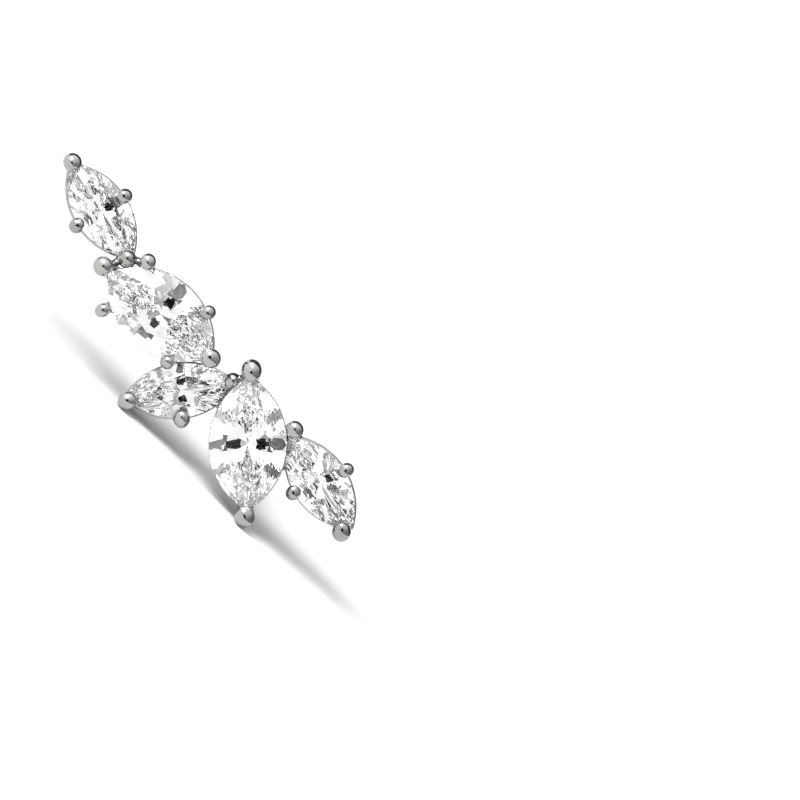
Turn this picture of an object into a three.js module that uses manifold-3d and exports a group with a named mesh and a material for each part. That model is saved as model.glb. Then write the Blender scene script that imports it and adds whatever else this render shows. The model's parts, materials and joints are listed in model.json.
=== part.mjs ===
// Stud earring: five marquise stones climbing in a curve, held by claw prongs in open wire baskets.
// The baskets, their bars and the ear post are soldered into one setting.
// Lengths are in millimetres and angles in degrees.
// The stones are laid out in a face frame: X right, Y up, Z towards the viewer, with the large lower
// stone's girdle on Z = 0. The whole face is then leaned back on its resting points.

import * as THREE from 'three';
import { ConvexGeometry } from 'three/addons/geometries/ConvexGeometry.js';
import { mergeVertices } from 'three/addons/utils/BufferGeometryUtils.js';
import Module from 'manifold-3d';

// The two cuts of stone, with the basket that holds each
const small = {
  length: 4.15,
  width: 2.0,
  wire: 0.34,
  railDepth: 0.4,
  baseDepth: 1.1,
  baseInset: 0.38,
  headRise: 0.13,
};
const large = {
  length: 4.95,
  width: 2.88,
  wire: 0.4,
  railDepth: 0.5,
  baseDepth: 1.42,
  baseInset: 0.48,
  headRise: 0.18,
};

// Cut proportions: heights as parts of the stone's width, rings as parts of the outline
const crownHeight = 0.15;
const girdleHeight = 0.03;
const pavilionDepth = 0.44;
const tableRing = 0.56;
const crownRing = { size: 0.78, height: 0.64 };
const pavilionRing = { size: 0.26, depth: 0.76 };
const facetsPerSide = 4;
const girdleStepsPerFacet = 2;

// Centre of each girdle, turn of the long axis in the face, and lean about the face's X and Y axes
const stones = [
  { name: 'stone_top', cut: small, x: -3.65, y: 5.89, z: -0.25, turn: -56.5, leanX: 0, leanY: 6 },
  { name: 'stone_upper', cut: large, x: -1.46, y: 2.05, z: 0, turn: -39, leanX: 1.5, leanY: -1 },
  { name: 'stone_side', cut: small, x: -0.71, y: -0.76, z: -0.45, turn: 7, leanX: 0, leanY: 7 },
  { name: 'stone_lower', cut: large, x: 1.77, y: -2.73, z: 0, turn: -91.5, leanX: 0, leanY: 0 },
  { name: 'stone_outer', cut: small, x: 4.45, y: -4.2, z: -0.4, turn: -56, leanX: 4, leanY: 1 },
];

// Prong heads: place along and across the stone they belong to, and the head's radius.
// The earring rests on two of them and on the end of its post.
const prongs = [
  { stone: 'stone_top', along: -2.1, across: 0.08, head: 0.35 },
  { stone: 'stone_top', along: 2.0, across: -0.2, head: 0.35 },
  { stone: 'stone_top', along: 0, across: 1.0, head: 0.29 },
  { stone: 'stone_top', along: -0.06, across: -1.07, head: 0.29 },
  { stone: 'stone_upper', along: -2.78, across: 0.06, head: 0.38 },
  { stone: 'stone_upper', along: 2.47, across: -0.09, head: 0.39 },
  { stone: 'stone_upper', along: -1.58, across: 1.23, head: 0.3 },
  { stone: 'stone_upper', along: 1.33, across: 1.17, head: 0.28 },
  { stone: 'stone_upper', along: -1.77, across: -1.22, head: 0.28 },
  { stone: 'stone_upper', along: 1.3, across: -1.2, head: 0.28 },
  { stone: 'stone_side', along: -2.07, across: -0.13, head: 0.36, rests: true },
  { stone: 'stone_side', along: 1.93, across: 0.1, head: 0.34 },
  { stone: 'stone_side', along: -0.12, across: -1.03, head: 0.32 },
  { stone: 'stone_lower', along: -2.66, across: 0.07, head: 0.39 },
  { stone: 'stone_lower', along: 2.75, across: -0.04, head: 0.38, rests: true },
  { stone: 'stone_outer', along: -2.19, across: 0.32, head: 0.35 },
  { stone: 'stone_outer', along: 1.92, across: -0.35, head: 0.37 },
  { stone: 'stone_outer', along: 0.13, across: 1.06, head: 0.29 },
  { stone: 'stone_outer', along: -0.27, across: -1.02, head: 0.29 },
];

// Soldered bars between baskets: each end lies on a basket's wall, so far along and across its stone
const bars = [
  { from: 'stone_top', start: [2.0, -0.2], to: 'stone_upper', end: [-2.78, 0.06], depth: 0.3 },
  { from: 'stone_top', start: [2.0, -0.2], to: 'stone_upper', end: [-1.58, 1.23], depth: 0.3 },
  { from: 'stone_upper', start: [1.3, -1.2], to: 'stone_side', end: [-0.35, 1.0], depth: 0.4 },
  { from: 'stone_upper', start: [2.47, -0.09], to: 'stone_side', end: [1.2, 0.72], depth: 0.4 },
  { from: 'stone_side', start: [1.93, 0.1], to: 'stone_lower', end: [-2.66, 0.07], depth: 0.25 },
  { from: 'stone_side', start: [1.3, -0.65], to: 'stone_lower', end: [-1.3, -1.12], depth: 0.45 },
  { from: 'stone_outer', start: [-2.19, 0.32], to: 'stone_lower', end: [-0.5, 1.4], depth: 0.4 },
  { from: 'stone_outer', start: [-1.2, -0.7], to: 'stone_lower', end: [0.9, 1.25], depth: 0.45 },
];
const barRadius = 0.17;

const shankRatio = 0.86;
const seatGrowth = 1.035;
const prongSides = 9;
const headSteps = 4;
const railSteps = 4;
const rodSides = 8;

// Ear post behind the large lower stone, with its friction groove near the end
const post = {
  radius: 0.4,
  length: 9.6,
  grooveDepth: 0.07,
  grooveWidth: 0.5,
  grooveFromEnd: 1.4,
  endChamfer: 0.1,
};
const postSides = 14;
const postBarRadius = 0.26;

// How far round each resting place its lowest point is looked for, and how often
const restReach = 0.9;
const restRounds = 8;

const weldDistance = 1e-5;

const whiteMetal = { color: 0xd2d0cb, roughness: 0.14, metalness: 1 };
const clearStone = { color: 0xf3f5f7, roughness: 0.03, metalness: 0 };

const wasm = await Module();
wasm.setup();

function toSolid(geometry) {
  const bare = geometry.clone();
  bare.deleteAttribute('normal');
  bare.deleteAttribute('uv');
  const merged = mergeVertices(bare, weldDistance);
  const mesh = new wasm.Mesh({
    numProp: 3,
    vertProperties: new Float32Array(merged.attributes.position.array),
    triVerts: new Uint32Array(merged.index.array),
  });
  return new wasm.Manifold(mesh);
}

function toGeometry(solid) {
  const mesh = solid.getMesh();
  const geometry = new THREE.BufferGeometry();
  geometry.setAttribute('position', new THREE.BufferAttribute(mesh.vertProperties, 3));
  geometry.setIndex(new THREE.BufferAttribute(mesh.triVerts, 1));
  geometry.computeVertexNormals();
  return geometry;
}

// A marquise outline is two equal arcs that meet in the tips
function marquiseArcs(length, width) {
  const radius = (length * length + width * width) / (4 * width);
  return { radius, centre: radius - width / 2, halfAngle: Math.asin(length / 2 / radius) };
}

// Points round a whole outline, starting at one tip, with the same number of steps on each arc
function outlinePoints(cut, steps, size, height) {
  const { radius, centre, halfAngle } = marquiseArcs(cut.length, cut.width);
  const points = [];
  for (const side of [1, -1]) {
    for (let step = 0; step < steps; step += 1) {
      const angle = halfAngle * ((2 * step) / steps - 1);
      const along = radius * Math.sin(angle);
      const across = radius * Math.cos(angle) - centre;
      points.push(new THREE.Vector3(side * along * size, side * across * size, height));
    }
  }
  return points;
}

// Brilliant cut: table, crown ring, girdle band, pavilion ring and culet, joined by flat facets
function stoneGeometry(cut) {
  const halfGirdle = (girdleHeight * cut.width) / 2;
  const crown = crownHeight * cut.width;
  const pavilion = pavilionDepth * cut.width;
  const betweenMains = (point, index) => index % 2 === 1;
  const onMains = (point, index) => index % 2 === 0;
  const ringSteps = 2 * facetsPerSide;
  const girdleSteps = ringSteps * girdleStepsPerFacet;
  const crownLevel = halfGirdle + crown * crownRing.height;
  const pavilionLevel = -halfGirdle - pavilion * pavilionRing.depth;
  const points = [
    ...outlinePoints(cut, ringSteps, tableRing, halfGirdle + crown).filter(onMains),
    ...outlinePoints(cut, ringSteps, crownRing.size, crownLevel).filter(betweenMains),
    ...outlinePoints(cut, girdleSteps, 1, halfGirdle),
    ...outlinePoints(cut, girdleSteps, 1, -halfGirdle),
    ...outlinePoints(cut, ringSteps, pavilionRing.size, pavilionLevel).filter(betweenMains),
    new THREE.Vector3(0, 0, -halfGirdle - pavilion),
  ];
  return new ConvexGeometry(points);
}

// The outline drawn inside or outside the stone's own by an even inset
function traceMarquise(path, cut, inset) {
  const { radius, centre } = marquiseArcs(cut.length, cut.width);
  const bend = radius - inset;
  const halfAngle = Math.acos(centre / bend);
  const upright = Math.PI / 2;
  path.absarc(0, -centre, bend, upright - halfAngle, upright + halfAngle, false);
  path.absarc(0, centre, bend, -upright - halfAngle, -upright + halfAngle, false);
  return path;
}

// Baskets taper evenly from the prong heads in to the lower rail
function wallInset(cut, depth) {
  return (cut.baseInset * (depth + cut.headRise)) / (cut.baseDepth + cut.headRise);
}

function wallPoint(cut, along, across, depth) {
  const outwards = new THREE.Vector3(along / cut.length ** 2, across / cut.width ** 2, 0).normalize();
  return new THREE.Vector3(along, across, -depth).addScaledVector(outwards, -wallInset(cut, depth));
}

// A flat band of square wire that follows the stone's outline at a depth below the girdle
function railGeometry(cut, depth) {
  const inset = wallInset(cut, depth);
  const band = traceMarquise(new THREE.Shape(), cut, inset - cut.wire / 2);
  band.holes.push(traceMarquise(new THREE.Path(), cut, inset + cut.wire / 2));
  const settings = { depth: cut.wire, bevelEnabled: false, curveSegments: railSteps };
  const geometry = new THREE.ExtrudeGeometry(band, settings);
  return geometry.translate(0, 0, -depth - cut.wire / 2);
}

// Turns a shape built along +Y so that it runs from one point towards another
function aim(geometry, from, to) {
  const direction = to.clone().sub(from).normalize();
  const turn = new THREE.Quaternion().setFromUnitVectors(new THREE.Vector3(0, 1, 0), direction);
  return geometry.applyQuaternion(turn).translate(from.x, from.y, from.z);
}

function rodGeometry(from, to, radius) {
  const length = from.distanceTo(to);
  const rod = new THREE.CylinderGeometry(radius, radius, length, rodSides).translate(0, length / 2, 0);
  return aim(rod, from, to);
}

// A straight shank from the lower rail up to a ball head beside the girdle
function prongGeometry(cut, prong) {
  const foot = wallPoint(cut, prong.along, prong.across, cut.baseDepth);
  const head = new THREE.Vector3(prong.along, prong.across, cut.headRise);
  const length = foot.distanceTo(head);
  const shank = prong.head * shankRatio;
  const neckAngle = -Math.acos(shankRatio);
  const profile = [new THREE.Vector2(0, 0), new THREE.Vector2(shank, 0)];
  for (let step = 0; step <= headSteps; step += 1) {
    const angle = THREE.MathUtils.lerp(neckAngle, Math.PI / 2, step / headSteps);
    const radius = step === headSteps ? 0 : prong.head * Math.cos(angle);
    profile.push(new THREE.Vector2(radius, length + prong.head * Math.sin(angle)));
  }
  return aim(new THREE.LatheGeometry(profile, prongSides), foot, head);
}

// The post leaves a bar soldered across the lower rail, and points straight back
function postGeometries(cut) {
  const halfBar = cut.width / 2 - wallInset(cut, cut.baseDepth);
  const barDepth = cut.baseDepth + cut.wire / 2;
  const barEnds = [-halfBar, halfBar].map((across) => new THREE.Vector3(0, across, -barDepth));
  const grooveRadius = post.radius - post.grooveDepth;
  const grooveEnd = post.length - post.grooveFromEnd;
  const grooveStart = grooveEnd - post.grooveWidth;
  const profile = [
    new THREE.Vector2(0, 0),
    new THREE.Vector2(post.radius, 0),
    new THREE.Vector2(post.radius, grooveStart),
    new THREE.Vector2(grooveRadius, grooveStart + post.grooveDepth),
    new THREE.Vector2(grooveRadius, grooveEnd - post.grooveDepth),
    new THREE.Vector2(post.radius, grooveEnd),
    new THREE.Vector2(post.radius, post.length - post.endChamfer),
    new THREE.Vector2(post.radius - post.endChamfer, post.length),
    new THREE.Vector2(0, post.length),
  ];
  const start = new THREE.Vector3(0, 0, -barDepth);
  const end = new THREE.Vector3(0, 0, -barDepth - post.length);
  const shaft = aim(new THREE.LatheGeometry(profile, postSides), start, end);
  return { pieces: [rodGeometry(...barEnds, postBarRadius), shaft], end };
}

// Each stone's place in the face
for (const stone of stones) {
  const lean = [stone.leanX, stone.leanY, stone.turn].map(THREE.MathUtils.degToRad);
  stone.rotation = new THREE.Euler(...lean, 'XYZ');
  stone.matrix = new THREE.Matrix4().makeRotationFromEuler(stone.rotation);
  stone.matrix.setPosition(stone.x, stone.y, stone.z);
}
const stoneNamed = (name) => stones.find((stone) => stone.name === name);

// The setting: baskets, prongs, bars and post joined, then the stones' seats cut out of it
const metal = [];
for (const stone of stones) {
  const { cut } = stone;
  for (const depth of [cut.railDepth, cut.baseDepth]) {
    metal.push(railGeometry(cut, depth).applyMatrix4(stone.matrix));
  }
}
for (const prong of prongs) {
  const stone = stoneNamed(prong.stone);
  metal.push(prongGeometry(stone.cut, prong).applyMatrix4(stone.matrix));
}
for (const bar of bars) {
  const from = stoneNamed(bar.from);
  const to = stoneNamed(bar.to);
  const start = wallPoint(from.cut, ...bar.start, bar.depth).applyMatrix4(from.matrix);
  const end = wallPoint(to.cut, ...bar.end, bar.depth).applyMatrix4(to.matrix);
  metal.push(rodGeometry(start, end, barRadius));
}
const postStone = stoneNamed('stone_lower');
const postParts = postGeometries(postStone.cut);
metal.push(...postParts.pieces.map((piece) => piece.applyMatrix4(postStone.matrix)));

let settingSolid = metal.map(toSolid).reduce((joined, piece) => joined.add(piece));
for (const stone of stones) {
  const seat = stoneGeometry(stone.cut).scale(seatGrowth, seatGrowth, seatGrowth);
  seat.applyMatrix4(stone.matrix);
  settingSolid = settingSolid.subtract(toSolid(seat));
}

const face = new THREE.Group();
const setting = new THREE.Mesh(toGeometry(settingSolid), new THREE.MeshStandardMaterial(whiteMetal));
setting.name = 'setting';
face.add(setting);
for (const stone of stones) {
  const mesh = new THREE.Mesh(stoneGeometry(stone.cut), new THREE.MeshStandardMaterial(clearStone));
  mesh.name = stone.name;
  mesh.position.set(stone.x, stone.y, stone.z);
  mesh.rotation.copy(stone.rotation);
  face.add(mesh);
}

// Where a prong's head stands in the face
function headPlace(prong) {
  const stone = stoneNamed(prong.stone);
  return new THREE.Vector3(prong.along, prong.across, stone.cut.headRise).applyMatrix4(stone.matrix);
}

// The direction that is up when the lowest points near three places all touch a level surface
function restingUp(geometry, places) {
  const position = geometry.attributes.position;
  const vertices = Array.from({ length: position.count }, (_, index) =>
    new THREE.Vector3().fromBufferAttribute(position, index));
  const near = places.map((place) => vertices.filter((vertex) => vertex.distanceTo(place) < restReach));
  let feet = places;
  let up = null;
  const lower = (one, other) => (other.dot(up) < one.dot(up) ? other : one);
  for (let round = 0; round < restRounds; round += 1) {
    up = new THREE.Triangle(...feet).getNormal(new THREE.Vector3());
    feet = near.map((group) => group.reduce((low, vertex) => lower(low, vertex)));
  }
  return up;
}

const postEnd = postParts.end.clone().applyMatrix4(postStone.matrix);
const restPlaces = [...prongs.filter((prong) => prong.rests).map(headPlace), postEnd];
const up = restingUp(setting.geometry, restPlaces);
const back = new THREE.Vector3(0, 0, -1).projectOnPlane(up).normalize();
const right = back.clone().cross(up);
const stance = new THREE.Matrix4().makeBasis(right, back, up).transpose();
face.setRotationFromMatrix(stance);

const earring = new THREE.Group();
earring.add(face);
const box = new THREE.Box3().setFromObject(earring, true);
const middle = box.getCenter(new THREE.Vector3());
face.position.set(-middle.x, -middle.y, -box.min.z);

export default earring;
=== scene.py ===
import json
import math

import bpy
import numpy as np
from mathutils import Matrix, Vector

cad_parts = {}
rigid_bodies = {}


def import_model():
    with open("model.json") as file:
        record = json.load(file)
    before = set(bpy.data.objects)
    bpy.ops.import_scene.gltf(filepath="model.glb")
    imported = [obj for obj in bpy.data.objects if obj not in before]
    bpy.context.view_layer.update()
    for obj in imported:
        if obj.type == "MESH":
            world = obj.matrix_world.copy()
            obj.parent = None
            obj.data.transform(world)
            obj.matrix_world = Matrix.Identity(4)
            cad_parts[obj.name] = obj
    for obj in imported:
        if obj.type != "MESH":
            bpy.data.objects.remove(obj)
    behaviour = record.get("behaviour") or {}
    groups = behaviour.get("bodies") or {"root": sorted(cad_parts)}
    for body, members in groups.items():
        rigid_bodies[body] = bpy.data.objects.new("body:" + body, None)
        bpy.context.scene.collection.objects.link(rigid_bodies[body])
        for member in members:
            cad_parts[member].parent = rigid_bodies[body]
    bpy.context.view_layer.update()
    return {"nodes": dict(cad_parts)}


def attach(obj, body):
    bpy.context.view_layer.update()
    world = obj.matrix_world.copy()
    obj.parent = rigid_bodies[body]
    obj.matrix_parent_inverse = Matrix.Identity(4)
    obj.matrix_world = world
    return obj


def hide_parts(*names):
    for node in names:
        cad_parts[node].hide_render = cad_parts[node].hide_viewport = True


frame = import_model()
mm = 0.001
print("frame loaded:", sorted(frame["nodes"]))


# small helpers for working by operator

def deselectAll():
    if bpy.context.object and bpy.context.object.mode != "OBJECT":
        bpy.ops.object.mode_set(mode="OBJECT")
    bpy.ops.object.select_all(action="DESELECT")


def makeActive(piece):
    deselectAll()
    piece.select_set(True)
    bpy.context.view_layer.objects.active = piece


# goes into edit mode with only the faces or the points that pass the test selected
def selectOnly(piece, kind, test):
    makeActive(piece)
    bpy.ops.object.mode_set(mode="EDIT")
    bpy.ops.mesh.select_mode(type=kind)
    bpy.ops.mesh.select_all(action="DESELECT")
    bpy.ops.object.mode_set(mode="OBJECT")
    for item in piece.data.polygons if kind == "FACE" else piece.data.vertices:
        item.select = test(item)
    bpy.ops.object.mode_set(mode="EDIT")


def applyModifier(piece, kind, **settings):
    makeActive(piece)
    modifier = piece.modifiers.new(kind.lower(), kind)
    for key, value in settings.items():
        setattr(modifier, key, value)
    bpy.ops.object.modifier_apply(modifier=modifier.name)


def place(piece, matrix):
    makeActive(piece)
    piece.matrix_world = matrix
    bpy.ops.object.transform_apply(location=True, rotation=True, scale=True)


def copyOf(piece, name):
    twin = piece.copy()
    twin.data = piece.data.copy()
    twin.name = name
    bpy.context.scene.collection.objects.link(twin)
    return twin


def joinAll(parts, name):
    deselectAll()
    for part in parts:
        part.select_set(True)
    bpy.context.view_layer.objects.active = parts[0]
    bpy.ops.object.join()
    joined = bpy.context.object
    joined.name = name
    joined.data.name = name
    return joined


closeTo = 0.002 * mm             # points nearer than this are one point


def tidyShell(piece):
    makeActive(piece)
    bpy.ops.object.mode_set(mode="EDIT")
    bpy.ops.mesh.select_all(action="SELECT")
    bpy.ops.mesh.remove_doubles(threshold=closeTo)
    bpy.ops.mesh.dissolve_degenerate(threshold=closeTo)
    bpy.ops.mesh.normals_make_consistent(inside=False)
    bpy.ops.object.mode_set(mode="OBJECT")


# crumbs that a cut leaves go, and the shell with the lowest point stays
def dropCrumbs(piece):
    lowest = min(vertex.co.z for vertex in piece.data.vertices)
    selectOnly(piece, "VERT", lambda vertex: vertex.co.z <= lowest)
    bpy.ops.mesh.select_linked()
    bpy.ops.mesh.select_all(action="INVERT")
    bpy.ops.mesh.delete(type="VERT")
    bpy.ops.object.mode_set(mode="OBJECT")


# points along a cut where only two edges meet go too, as faces fold over at them
def dropSeamPoints(piece):
    corners = [corner for edge in piece.data.edges for corner in edge.vertices]
    edgesAt = np.bincount(corners).tolist()
    selectOnly(piece, "VERT", lambda vertex: edgesAt[vertex.index] == 2)
    bpy.ops.mesh.dissolve_verts()
    bpy.ops.object.mode_set(mode="OBJECT")


# matrix that carries a shape standing along +Z onto the line between two points
def aimed(start, end):
    turn = Vector((0, 0, 1)).rotation_difference(end - start)
    return Matrix.Translation(start) @ turn.to_matrix().to_4x4()


# each stone's own axes, read from the frame: long axis, short axis and the way its table faces

tipDepth = 0.01 * mm             # points this near to the farthest one make up a tip


def readStone(name):
    node = frame["nodes"][name]
    points = np.array(sorted({tuple(round(c, 8) for c in v.co) for v in node.data.vertices}))
    middle = points.mean(axis=0)
    axes = np.linalg.eigh(np.cov((points - middle).T))[1]
    along = Vector(axes[:, 2])
    along = along if along.x > 0 else -along
    normal = Vector(axes[:, 0])
    heights = [normal.dot(Vector(p - middle)) for p in points]
    if max(heights) > -min(heights):          # the culet stands farther out than the table
        normal = -normal
    across = normal.cross(along)
    reach = [along.dot(Vector(p - middle)) for p in points]
    tips = [p for p, r in zip(points, reach) if abs(r) > max(reach) - tipDepth]
    centre = Vector(np.mean(tips, axis=0))
    sides = [across.dot(Vector(p) - centre) for p in points]
    turn = Matrix((along, across, normal)).transposed()
    return {
        "name": name,
        "centre": centre,
        "normal": normal,
        "along": along,
        "across": across,
        "length": 2 * max(reach),
        "width": 2 * max(sides),
        "matrix": Matrix.Translation(centre) @ turn.to_4x4(),
    }


stoneNames = ["stone_top", "stone_upper", "stone_side", "stone_lower", "stone_outer"]
stones = {name: readStone(name) for name in stoneNames}
for stone in stones.values():
    print(stone["name"], [round(stone[k] / mm, 2) for k in ("length", "width")])


# camera at the photo's angle: square to the lower stone, whose long axis stands nearly upright

cameraLook = {
    "squareTo": "stone_lower",
    "stoneTurn": -91.5,          # degrees, in the picture
    "stonePixel": (247.8, 443.7),
    "pixelsPerMm": 27.0,
    "frameWidth": 800,           # pixels
    "lens": 300,                 # mm, as the sensor is
    "sensor": 36,
    "clip": (0.01, 20),          # metres
}


def makeCamera():
    stone = stones[cameraLook["squareTo"]]
    turn = math.radians(cameraLook["stoneTurn"])
    faceX = stone["along"] * math.cos(turn) - stone["across"] * math.sin(turn)
    faceY = stone["along"] * math.sin(turn) + stone["across"] * math.cos(turn)
    data = bpy.data.cameras.new("camera")
    data.lens = cameraLook["lens"]
    data.sensor_width = cameraLook["sensor"]
    data.clip_start, data.clip_end = cameraLook["clip"]
    focalPixels = cameraLook["lens"] / cameraLook["sensor"] * cameraLook["frameWidth"]
    distance = focalPixels / cameraLook["pixelsPerMm"] * mm
    eye = stone["centre"] + stone["normal"] * distance
    half = cameraLook["frameWidth"] / 2
    pixelX, pixelY = cameraLook["stonePixel"]
    offX = (half - pixelX) / cameraLook["pixelsPerMm"] * mm
    offY = (pixelY - half) / cameraLook["pixelsPerMm"] * mm
    shift = faceX * offX + faceY * offY
    turned = Matrix((faceX, faceY, stone["normal"])).transposed().to_4x4()
    camera = bpy.data.objects.new("camera", data)
    bpy.context.scene.collection.objects.link(camera)
    camera.matrix_world = Matrix.Translation(eye + shift) @ turned
    bpy.context.scene.camera = camera


makeCamera()
print("camera placed")


# shader node groups that more than one finish uses

def newGroup(name, inputs, outputs):
    group = bpy.data.node_groups.new(name, "ShaderNodeTree")
    for way, labels in (("INPUT", inputs), ("OUTPUT", outputs)):
        for label in labels:
            group.interface.new_socket(label, in_out=way, socket_type="NodeSocketFloat")
    start = group.nodes.new("NodeGroupInput")
    finish = group.nodes.new("NodeGroupOutput")
    return group, start, finish


def addMath(tree, operation, first, second):
    node = tree.nodes.new("ShaderNodeMath")
    node.operation = operation
    for socket, value in zip(node.inputs, (first, second)):
        if isinstance(value, bpy.types.NodeSocket):
            tree.links.new(value, socket)
        else:
            socket.default_value = value
    return node.outputs[0]


def addNoise(tree, vector, scale, detail):
    node = tree.nodes.new("ShaderNodeTexNoise")
    node.inputs["Detail"].default_value = detail
    tree.links.new(vector, node.inputs["Vector"])
    if isinstance(scale, bpy.types.NodeSocket):
        tree.links.new(scale, node.inputs["Scale"])
    else:
        node.inputs["Scale"].default_value = scale
    return node.outputs["Fac"]


# hand polish: soft waves left by the buff, fine hairlines, and a blotchy gloss

polishLook = {
    "waveDetail": 0.0,
    "hairlineStretch": (1.0, 0.12, 0.35),
    "hairlineDetail": 4.0,
    "hairlineDepth": 0.03,       # beside the waves' own
    "blotchScale": 620.0,
    "blotchDetail": 3.0,
    "glossRange": (0.3, 0.7),    # of the mixed noise, from the low gloss to the high one
}


def makeHandPolish():
    group, start, finish = newGroup(
        "handPolish",
        ["Wave Scale", "Hairline Scale", "Gloss Low", "Gloss High"],
        ["Height", "Roughness", "Shade"],
    )
    coords = group.nodes.new("ShaderNodeTexCoord").outputs["Object"]
    waves = addNoise(group, coords, start.outputs["Wave Scale"], polishLook["waveDetail"])
    stretch = group.nodes.new("ShaderNodeMapping")
    stretch.inputs["Scale"].default_value = polishLook["hairlineStretch"]
    group.links.new(coords, stretch.inputs["Vector"])
    drawn = stretch.outputs["Vector"]
    hairlineScale = start.outputs["Hairline Scale"]
    hairlines = addNoise(group, drawn, hairlineScale, polishLook["hairlineDetail"])
    blotches = addNoise(group, coords, polishLook["blotchScale"], polishLook["blotchDetail"])
    fine = addMath(group, "MULTIPLY", hairlines, polishLook["hairlineDepth"])
    group.links.new(addMath(group, "ADD", waves, fine), finish.inputs["Height"])
    span = group.nodes.new("ShaderNodeMapRange")
    mixed = addMath(group, "MULTIPLY", addMath(group, "ADD", blotches, hairlines), 0.5)
    group.links.new(mixed, span.inputs["Value"])
    span.inputs["From Min"].default_value = polishLook["glossRange"][0]
    span.inputs["From Max"].default_value = polishLook["glossRange"][1]
    group.links.new(start.outputs["Gloss Low"], span.inputs["To Min"])
    group.links.new(start.outputs["Gloss High"], span.inputs["To Max"])
    group.links.new(span.outputs["Result"], finish.inputs["Roughness"])
    group.links.new(blotches, finish.inputs["Shade"])
    return group


handPolish = makeHandPolish()


def newMaterial(name):
    material = bpy.data.materials.new(name)
    material.use_nodes = True
    tree = material.node_tree
    return material, tree, tree.nodes["Principled BSDF"]


def addRamp(tree, factor, stops):
    ramp = tree.nodes.new("ShaderNodeValToRGB")
    while len(ramp.color_ramp.elements) < len(stops):
        ramp.color_ramp.elements.new(0.5)
    for element, (position, colour) in zip(ramp.color_ramp.elements, stops):
        element.position = position
        element.color = (*colour, 1)
    tree.links.new(factor, ramp.inputs["Fac"])
    return ramp.outputs["Color"]


# the polish's blotches shade the colour, and its gloss sets the roughness
def addPolish(tree, shader, look):
    polish = tree.nodes.new("ShaderNodeGroup")
    polish.node_tree = handPolish
    for label, value in look["polish"].items():
        polish.inputs[label].default_value = value
    tint = addRamp(tree, polish.outputs["Shade"], look["shades"])
    tree.links.new(tint, shader.inputs["Base Color"])
    tree.links.new(polish.outputs["Roughness"], shader.inputs["Roughness"])
    return polish


whiteMetal = {
    # level of the blotches, and the colour at it
    "shades": [(0.35, (0.34, 0.335, 0.325)), (0.62, (0.46, 0.453, 0.439))],
    "polish": {"Wave Scale": 3000, "Hairline Scale": 9000, "Gloss Low": 0.05, "Gloss High": 0.14},
    "castWaves": 0.05,           # mm deep, on the baskets
    "drawnWaves": 0.008,         # mm deep, on the post
}


def makeWhiteMetal(name, waveDepth):
    material, tree, shader = newMaterial(name)
    polish = addPolish(tree, shader, whiteMetal)
    shader.inputs["Metallic"].default_value = 1.0
    bump = tree.nodes.new("ShaderNodeBump")
    bump.inputs["Strength"].default_value = 1.0
    bump.inputs["Distance"].default_value = waveDepth * mm
    tree.links.new(polish.outputs["Height"], bump.inputs["Height"])
    tree.links.new(bump.outputs["Normal"], shader.inputs["Normal"])
    return material


clearStone = {
    "ior": 2.15,
    "shades": [(0.35, (0.97, 0.98, 1.0)), (0.65, (1.0, 1.0, 1.0))],
    "polish": {"Wave Scale": 500, "Hairline Scale": 5000, "Gloss Low": 0.0, "Gloss High": 0.012},
}


def makeClearStone():
    material, tree, shader = newMaterial("brilliantStone")
    addPolish(tree, shader, clearStone)
    shader.inputs["Transmission Weight"].default_value = 1.0
    shader.inputs["IOR"].default_value = clearStone["ior"]
    return material


castFinish = makeWhiteMetal("castWhiteMetal", whiteMetal["castWaves"])
drawnFinish = makeWhiteMetal("drawnWhiteMetal", whiteMetal["drawnWaves"])
stoneFinish = makeClearStone()
for name in stoneNames:
    frame["nodes"][name].data.materials.clear()
    frame["nodes"][name].data.materials.append(stoneFinish)
print("finishes made")


# one basket per stone: two wire rails, claw prongs and the seat that the stone sits in

basketSizes = {                  # mm
    "small": {
        "wire": 0.34, "railDepth": 0.4, "baseDepth": 1.1, "baseInset": 0.38,
        "headRise": 0.13, "lip": 0.06,
    },
    "large": {
        "wire": 0.4, "railDepth": 0.5, "baseDepth": 1.42, "baseInset": 0.48,
        "headRise": 0.18, "lip": 0.035,
    },
}
largeOver = 2.5                  # stones wider than this, in mm, sit in the large basket

# along the stone, across it and the head's radius, in mm, and how many times longer the head is
# towards the stone
prongPlaces = {
    "stone_top": [
        (-2.1, 0.08, 0.35, 1.05), (2.0, -0.2, 0.35, 1.0), (0, 1.0, 0.29, 1.1),
        (-0.06, -1.07, 0.29, 1.1),
    ],
    "stone_upper": [
        (-2.78, 0.06, 0.38, 1.0), (2.47, -0.09, 0.39, 1.0), (-1.58, 1.23, 0.3, 1.1),
        (1.33, 1.17, 0.28, 1.1), (-1.77, -1.22, 0.26, 1.2), (1.3, -1.2, 0.28, 1.0),
    ],
    "stone_side": [(-2.04, -0.13, 0.34, 1.12), (1.93, 0.1, 0.34, 1.0), (-0.12, -1.03, 0.32, 1.15)],
    "stone_lower": [(-2.7, 0.07, 0.39, 1.16), (2.71, -0.04, 0.38, 1.08)],
    "stone_outer": [
        (-2.19, 0.32, 0.35, 1.0), (1.92, -0.35, 0.36, 1.1), (0.13, 1.06, 0.28, 1.15),
        (-0.27, -1.02, 0.28, 1.1),
    ],
}


def basketFor(stone):
    return basketSizes["large" if stone["width"] > largeOver * mm else "small"]


# how far the wall has drawn in at a depth under the girdle
def wallInset(basket, depth):
    fullRise = basket["baseDepth"] + basket["headRise"]
    return basket["baseInset"] * (depth + basket["headRise"]) / fullRise


# a place on the basket's tapering wall, in the stone's own axes
def wallPoint(stone, along, across, depth):
    basket = basketFor(stone)
    outward = Vector((along / stone["length"] ** 2, across / stone["width"] ** 2, 0)).normalized()
    return (Vector((along, across, -depth)) - outward * wallInset(basket, depth)) * mm


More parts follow.
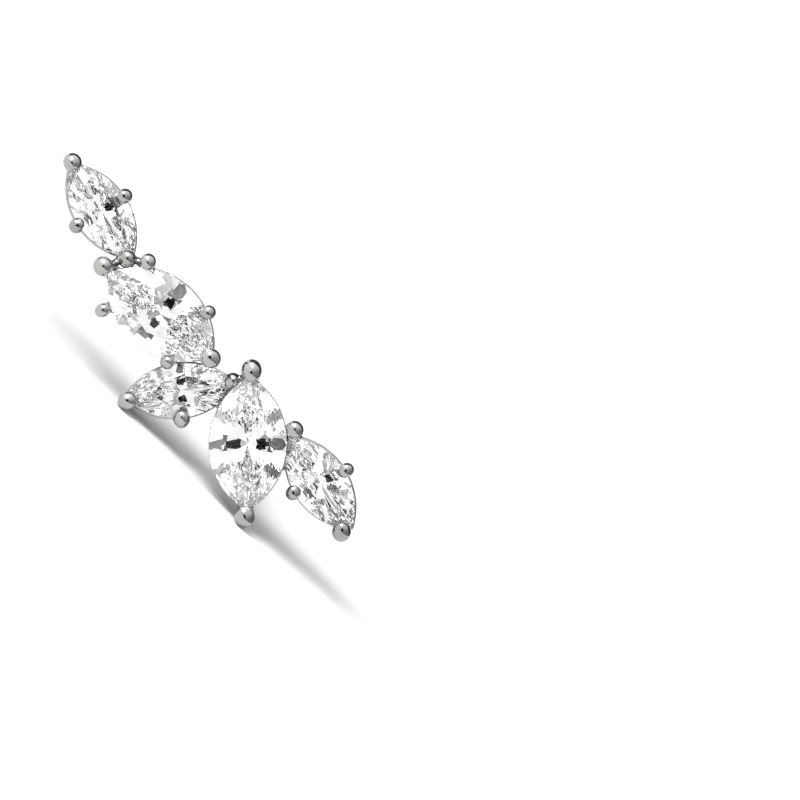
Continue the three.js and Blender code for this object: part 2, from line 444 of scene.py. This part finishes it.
railLook = {
    "steps": 14,
    "overrun": 1.25,             # the spin goes past the tip, where the rail is then cut
    "roundWidth": 0.11,          # mm
    "roundSegments": 3,
    "roundAbove": 50,            # degrees
}


# a rail is a square section spun round the outline's arc, cut at the tip and mirrored both ways
def makeRail(stone, depth, lip):
    basket = basketFor(stone)
    wire = basket["wire"] * mm
    radius = (stone["length"] ** 2 + stone["width"] ** 2) / (4 * stone["width"])
    centre = radius - stone["width"] / 2
    bend = radius - (wallInset(basket, depth) - lip) * mm
    deselectAll()
    bpy.ops.mesh.primitive_plane_add(
        size=wire, location=(0, bend - centre, -depth * mm), rotation=(0, math.pi / 2, 0))
    rail = bpy.context.object
    bpy.ops.object.transform_apply(location=True, rotation=True, scale=True)
    bpy.ops.object.mode_set(mode="EDIT")
    bpy.ops.mesh.select_all(action="SELECT")
    sweep = math.acos(centre / (bend + wire)) * railLook["overrun"]
    bpy.ops.mesh.spin(
        steps=railLook["steps"], angle=-sweep, center=(0, -centre, -depth * mm), axis=(0, 0, 1))
    bpy.ops.mesh.select_all(action="SELECT")
    bpy.ops.mesh.bisect(
        plane_co=(0, 0, 0), plane_no=(0, 1, 0), clear_inner=True, threshold=closeTo)
    bpy.ops.object.mode_set(mode="OBJECT")
    selectOnly(rail, "FACE", lambda face: abs(face.center.x) < closeTo)
    bpy.ops.mesh.delete(type="ONLY_FACE")
    bpy.ops.object.mode_set(mode="OBJECT")
    applyModifier(rail, "MIRROR", use_axis=(True, True, False), merge_threshold=closeTo)
    tidyShell(rail)
    applyModifier(
        rail, "BEVEL", width=railLook["roundWidth"] * mm, segments=railLook["roundSegments"],
        limit_method="ANGLE", angle_limit=math.radians(railLook["roundAbove"]))
    return rail


prongLook = {
    "segments": 32,
    "rings": 20,
    "neck": -0.5,                # of the radius: the ball below this runs into the shank
    "flatten": 0.94,
}


# a prong is a ball, drawn out towards the stone, whose underside runs down into a shank
def makeProng(stone, along, across, head, reach):
    basket = basketFor(stone)
    foot = wallPoint(stone, along, across, basket["baseDepth"])
    top = Vector((along, across, basket["headRise"])) * mm
    radius = head * mm
    length = (top - foot).length
    deselectAll()
    bpy.ops.mesh.primitive_uv_sphere_add(
        segments=prongLook["segments"], ring_count=prongLook["rings"], radius=radius)
    prong = bpy.context.object
    selectOnly(prong, "VERT", lambda vertex: True)
    bpy.ops.transform.resize(value=(reach, 1, 1), center_override=(0, 0, 0))
    bpy.ops.object.mode_set(mode="OBJECT")
    selectOnly(prong, "VERT", lambda vertex: vertex.co.z > 0)
    bpy.ops.transform.resize(value=(1, 1, prongLook["flatten"]), center_override=(0, 0, 0))
    bpy.ops.object.mode_set(mode="OBJECT")
    selectOnly(prong, "FACE", lambda face: face.center.z < prongLook["neck"] * radius)
    bpy.ops.mesh.extrude_region_move(TRANSFORM_OT_translate={"value": (0, 0, -length)})
    bpy.ops.transform.resize(value=(1, 1, 0), center_override=(0, 0, -length))
    bpy.ops.object.mode_set(mode="OBJECT")
    inward = Vector((along / stone["length"] ** 2, across / stone["width"] ** 2))
    facing = Matrix.Rotation(math.atan2(-inward.y, -inward.x), 4, "Z")
    place(prong, aimed(top, top + (top - foot)) @ facing)
    return prong


postLook = {                     # lengths in mm
    "carrier": "stone_lower",
    "radius": 0.4, "length": 9.6, "endRound": 0.1, "segments": 64,
    "grooveDepth": 0.07, "grooveWidth": 0.5, "grooveFromEnd": 1.4,
    "barRadius": 0.26, "solder": 0.16, "solderHeight": 0.34,
    "solderSteps": [(0.55, 0.5), (0.75, 0.25)],     # share of its height, share of its width left
    "roundWidth": 0.03, "roundSegments": 3,
    "roundAbove": 25,            # degrees
}


# a round drawn out step by step: solder at its foot, then the friction groove and the rounded end
def makePost(stone):
    basket = basketFor(stone)
    radius = (postLook["radius"] + postLook["solder"]) * mm
    base = postLook["radius"] / (postLook["radius"] + postLook["solder"])
    start = -(basket["baseDepth"] + basket["wire"] / 2) * mm
    groove = (postLook["radius"] - postLook["grooveDepth"]) / postLook["radius"]
    grooveEnd = postLook["length"] - postLook["grooveFromEnd"]
    grooveStart = grooveEnd - postLook["grooveWidth"]
    ledge = postLook["grooveDepth"]
    endSize = (postLook["radius"] - postLook["endRound"]) / postLook["radius"]
    fillet = postLook["solderHeight"]
    flare = 1 / base - 1
    stations = [(fillet * height, 1 + flare * left) for height, left in postLook["solderSteps"]]
    stations += [                # distance from the foot, in mm, and size beside the plain post
        (fillet, 1), (fillet + ledge, 1), (grooveStart - ledge, 1), (grooveStart, 1),
        (grooveStart + ledge, groove), (grooveEnd - ledge, groove), (grooveEnd, 1),
        (postLook["length"] - postLook["endRound"], 1), (postLook["length"], endSize),
    ]
    deselectAll()
    bpy.ops.mesh.primitive_circle_add(
        vertices=postLook["segments"], radius=radius, fill_type="NGON", location=(0, 0, start))
    post = bpy.context.object
    bpy.ops.object.transform_apply(location=True, rotation=True, scale=True)
    bpy.ops.object.mode_set(mode="EDIT")
    bpy.ops.mesh.select_all(action="SELECT")
    reached, size = 0.0, 1 / base
    for station, nextSize in stations:
        step = (0, 0, (reached - station) * mm)
        bpy.ops.mesh.extrude_region_move(TRANSFORM_OT_translate={"value": step})
        scale = nextSize / size
        level = (0, 0, start - station * mm)
        bpy.ops.transform.resize(value=(scale, scale, 1), center_override=level)
        reached, size = station, nextSize
    bpy.ops.object.mode_set(mode="OBJECT")
    tidyShell(post)
    applyModifier(
        post, "BEVEL", width=postLook["roundWidth"] * mm, segments=postLook["roundSegments"],
        limit_method="ANGLE", angle_limit=math.radians(postLook["roundAbove"]))
    place(post, stone["matrix"])
    post.name = post.data.name = "post"
    return post


barLook = {"segments": 20, "radius": 0.15, "flare": 1.35}          # radius at the waist, in mm

# from one basket's wall to the next one's, at the same depth under both girdles
bars = [
    {"from": ("stone_top", 2.0, -0.2), "to": ("stone_upper", -2.78, 0.06), "depth": 0.3},
    {"from": ("stone_top", 2.0, -0.2), "to": ("stone_upper", -1.58, 1.23), "depth": 0.3},
    {"from": ("stone_upper", 1.3, -1.2), "to": ("stone_side", -0.35, 1.0), "depth": 0.4},
    {"from": ("stone_upper", 2.47, -0.09), "to": ("stone_side", 1.2, 0.72), "depth": 0.4},
    {"from": ("stone_side", 1.93, 0.1), "to": ("stone_lower", -2.66, 0.07), "depth": 0.25},
    {"from": ("stone_side", 1.3, -0.65), "to": ("stone_lower", -1.3, -1.12), "depth": 0.45},
    {"from": ("stone_outer", -2.19, 0.32), "to": ("stone_lower", -0.5, 1.4), "depth": 0.4},
    {"from": ("stone_outer", -1.2, -0.7), "to": ("stone_lower", 0.9, 1.25), "depth": 0.45},
]


# a rod between two points, pinched in at its waist as solder draws it
def makeRod(start, end, radius):
    length = (end - start).length
    deselectAll()
    bpy.ops.mesh.primitive_cylinder_add(
        vertices=barLook["segments"], radius=radius * barLook["flare"], depth=length,
        location=(0, 0, length / 2))
    rod = bpy.context.object
    bpy.ops.object.transform_apply(location=True, rotation=True, scale=True)
    bpy.ops.object.mode_set(mode="EDIT")
    bpy.ops.mesh.select_all(action="SELECT")
    bpy.ops.mesh.bisect(plane_co=(0, 0, length / 2), plane_no=(0, 0, 1), threshold=closeTo)
    waist = 1 / barLook["flare"]
    bpy.ops.transform.resize(value=(waist, waist, 1), center_override=(0, 0, length / 2))
    bpy.ops.object.mode_set(mode="OBJECT")
    place(rod, aimed(start, end))
    return rod


castLook = {
    "voxel": 0.03,               # mm
    "smoothTurns": 6,
    "smoothAmount": 0.5,
    "seatGrowth": 1.02,
    "shadeSmoothBelow": 35,      # degrees
}


def makeBasket(stone):
    parts = []
    basket = basketFor(stone)
    for depth, lip in ((basket["railDepth"], basket["lip"]), (basket["baseDepth"], 0)):
        parts.append(makeRail(stone, depth, lip))
    for along, across, head, reach in prongPlaces[stone["name"]]:
        parts.append(makeProng(stone, along, across, head, reach))
    if stone["name"] == postLook["carrier"]:         # the bar that the post stands on
        halfBar = stone["width"] / 2 - wallInset(basket, basket["baseDepth"]) * mm
        barLevel = -(basket["baseDepth"] + basket["wire"] / 2) * mm
        ends = [Vector((0, side * halfBar, barLevel)) for side in (-1, 1)]
        parts.append(makeRod(*ends, postLook["barRadius"] * mm))
    for part in parts:
        place(part, stone["matrix"])
    for bar in bars:
        if bar["from"][0] == stone["name"]:
            ends = []
            for name, along, across in (bar["from"], bar["to"]):
                spot = wallPoint(stones[name], along, across, bar["depth"])
                ends.append(stones[name]["matrix"] @ spot)
            parts.append(makeRod(*ends, barLook["radius"] * mm))
    return joinAll(parts, stone["name"].replace("stone", "basket"))


# a copy of each stone, a touch larger, cuts its seat in the metal
def makeSeatCutter(stone):
    cutter = copyOf(frame["nodes"][stone["name"]], "seat_cutter")
    cutter.parent = None
    makeActive(cutter)
    if cutter.data.has_custom_normals:
        bpy.ops.mesh.customdata_custom_splitnormals_clear()
    tidyShell(cutter)
    grow = Matrix.Scale(castLook["seatGrowth"], 4)
    place(cutter, stone["matrix"] @ grow @ stone["matrix"].inverted())
    return cutter


# soldered wires melt into one another, then the stones' seats are cut
def castTogether(piece, cutters):
    applyModifier(
        piece, "REMESH", mode="VOXEL", voxel_size=castLook["voxel"] * mm, use_smooth_shade=True)
    applyModifier(
        piece, "SMOOTH", factor=castLook["smoothAmount"], iterations=castLook["smoothTurns"])
    for cutter in cutters:
        applyModifier(piece, "BOOLEAN", operation="DIFFERENCE", object=cutter, solver="MANIFOLD")
    tidyShell(piece)
    dropCrumbs(piece)
    dropSeamPoints(piece)


def finishMetal(piece, finish):
    makeActive(piece)
    bpy.ops.object.shade_smooth_by_angle(angle=math.radians(castLook["shadeSmoothBelow"]))
    piece.data.materials.clear()
    piece.data.materials.append(finish)
    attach(piece, "root")


cutters = [makeSeatCutter(stone) for stone in stones.values()]
metalPieces = [makePost(stones[postLook["carrier"]])]
for stone in stones.values():
    piece = makeBasket(stone)
    castTogether(piece, cutters)
    metalPieces.append(piece)
for piece in metalPieces:
    finishMetal(piece, drawnFinish if piece.name == "post" else castFinish)
    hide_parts("setting")
    print(piece.name, "made,", len(piece.data.polygons), "faces")
for cutter in cutters:
    bpy.data.objects.remove(cutter)


# plain pale floor

floorLook = {
    "size": 4.0,                 # metres
    "mottleScale": 40.0,
    "mottleDetail": 3.0,
    "shades": [(0.3, (0.93, 0.93, 0.935)), (0.7, (0.95, 0.95, 0.95))],
    "roughness": 0.9,
    "specular": 0.2,
}


def makeFloor():
    deselectAll()
    bpy.ops.mesh.primitive_plane_add(size=floorLook["size"])
    floor = bpy.context.object
    floor.name = "floor"
    material, tree, shader = newMaterial("paleFloor")
    coords = tree.nodes.new("ShaderNodeTexCoord").outputs["Object"]
    mottle = addNoise(tree, coords, floorLook["mottleScale"], floorLook["mottleDetail"])
    tree.links.new(addRamp(tree, mottle, floorLook["shades"]), shader.inputs["Base Color"])
    shader.inputs["Roughness"].default_value = floorLook["roughness"]
    shader.inputs["Specular IOR Level"].default_value = floorLook["specular"]
    floor.data.materials.append(material)


makeFloor()

# soft studio light: one lamp in a pale tent, which is dark round the lens and in a strip behind

keyLamp = {"from": (-0.28, -0.20, 0.30), "spread": 32, "power": 2.3}         # spread in degrees


def makeKeyLamp():
    data = bpy.data.lights.new("key", "SUN")
    data.energy = keyLamp["power"]
    data.angle = math.radians(keyLamp["spread"])
    lamp = bpy.data.objects.new("key", data)
    bpy.context.scene.collection.objects.link(lamp)
    lamp.location = keyLamp["from"]
    lamp.rotation_euler = Vector(keyLamp["from"]).to_track_quat("Z", "Y").to_euler()


tentLook = {
    "bright": (-0.7, -0.15, 0.7),       # the way to the tent's brightest wall
    # how far round from the darkest wall to the brightest, and the light there
    "levels": [(0.0, 0.09), (0.5, 0.45), (0.7, 0.87), (1.0, 1.55)],
    "strength": 1.1,
    "seen": (0.9, 0.9, 0.9),            # what the camera itself sees of the tent
    "lens": (0, -0.985, 0.175),         # the way to the lens
    "lensOpening": (17, 19),            # degrees from it: all dark, no longer dark
    "strip": (97, 140),                 # degrees from it, first and last edge
    "stripSoft": 3,
    "stripLevel": 0.06,
    "openingLevel": 0,
    "stripMiddle": (0.01, 0.175, 0.985),
    "stripReach": (58, 72),             # degrees from the strip's middle: all dark, no longer dark
}


def addDot(tree, vector, direction):
    node = tree.nodes.new("ShaderNodeVectorMath")
    node.operation = "DOT_PRODUCT"
    tree.links.new(vector, node.inputs[0])
    node.inputs[1].default_value = Vector(direction).normalized()
    return node.outputs["Value"]


def addRange(tree, value, low, high, kind):
    node = tree.nodes.new("ShaderNodeMapRange")
    node.interpolation_type = kind
    tree.links.new(value, node.inputs["Value"])
    node.inputs["From Min"].default_value = low
    node.inputs["From Max"].default_value = high
    return node.outputs["Result"]


# one inside the smaller angle from a direction, nothing outside the larger one
def addCone(tree, dot, inner, outer):
    low, high = (math.cos(math.radians(angle)) for angle in (outer, inner))
    return addRange(tree, dot, low, high, "SMOOTHSTEP")


mixSockets = {"first": 6, "second": 7, "result": 2}         # of a mix node that mixes colours


def addMix(tree, factor, first, colour):
    node = tree.nodes.new("ShaderNodeMix")
    node.data_type = "RGBA"
    tree.links.new(factor, node.inputs["Factor"])
    tree.links.new(first, node.inputs[mixSockets["first"]])
    node.inputs[mixSockets["second"]].default_value = (*colour, 1)
    return node.outputs[mixSockets["result"]]


def makeTent():
    world = bpy.data.worlds.new("studio")
    bpy.context.scene.world = world
    world.use_nodes = True
    tree = world.node_tree
    background = tree.nodes["Background"]
    way = tree.nodes.new("ShaderNodeTexCoord").outputs["Generated"]
    facing = addRange(tree, addDot(tree, way, tentLook["bright"]), -1, 1, "LINEAR")
    light = addRamp(tree, facing, [(spot, (level,) * 3) for spot, level in tentLook["levels"]])
    fromLens = addDot(tree, way, tentLook["lens"])
    first, last = tentLook["strip"]
    soft = tentLook["stripSoft"]
    inLast = addCone(tree, fromLens, last, last + soft)
    inFirst = addCone(tree, fromLens, first - soft, first)
    ring = addMath(tree, "SUBTRACT", inLast, inFirst)
    sector = addCone(tree, addDot(tree, way, tentLook["stripMiddle"]), *tentLook["stripReach"])
    strip = addMath(tree, "MULTIPLY", ring, sector)
    light = addMix(tree, strip, light, (tentLook["stripLevel"],) * 3)
    opening = addCone(tree, fromLens, *tentLook["lensOpening"])
    light = addMix(tree, opening, light, (tentLook["openingLevel"],) * 3)
    seen = tree.nodes.new("ShaderNodeLightPath").outputs["Is Camera Ray"]
    tree.links.new(addMix(tree, seen, light, tentLook["seen"]), background.inputs["Color"])
    background.inputs["Strength"].default_value = tentLook["strength"]


makeKeyLamp()
makeTent()
scene = bpy.context.scene
scene.view_settings.view_transform = "Standard"
stoneBounces = 24                # light crosses a cut stone many times
for limit in ("max_bounces", "glossy_bounces", "transmission_bounces"):
    setattr(scene.cycles, limit, stoneBounces)
print("floor and light set")
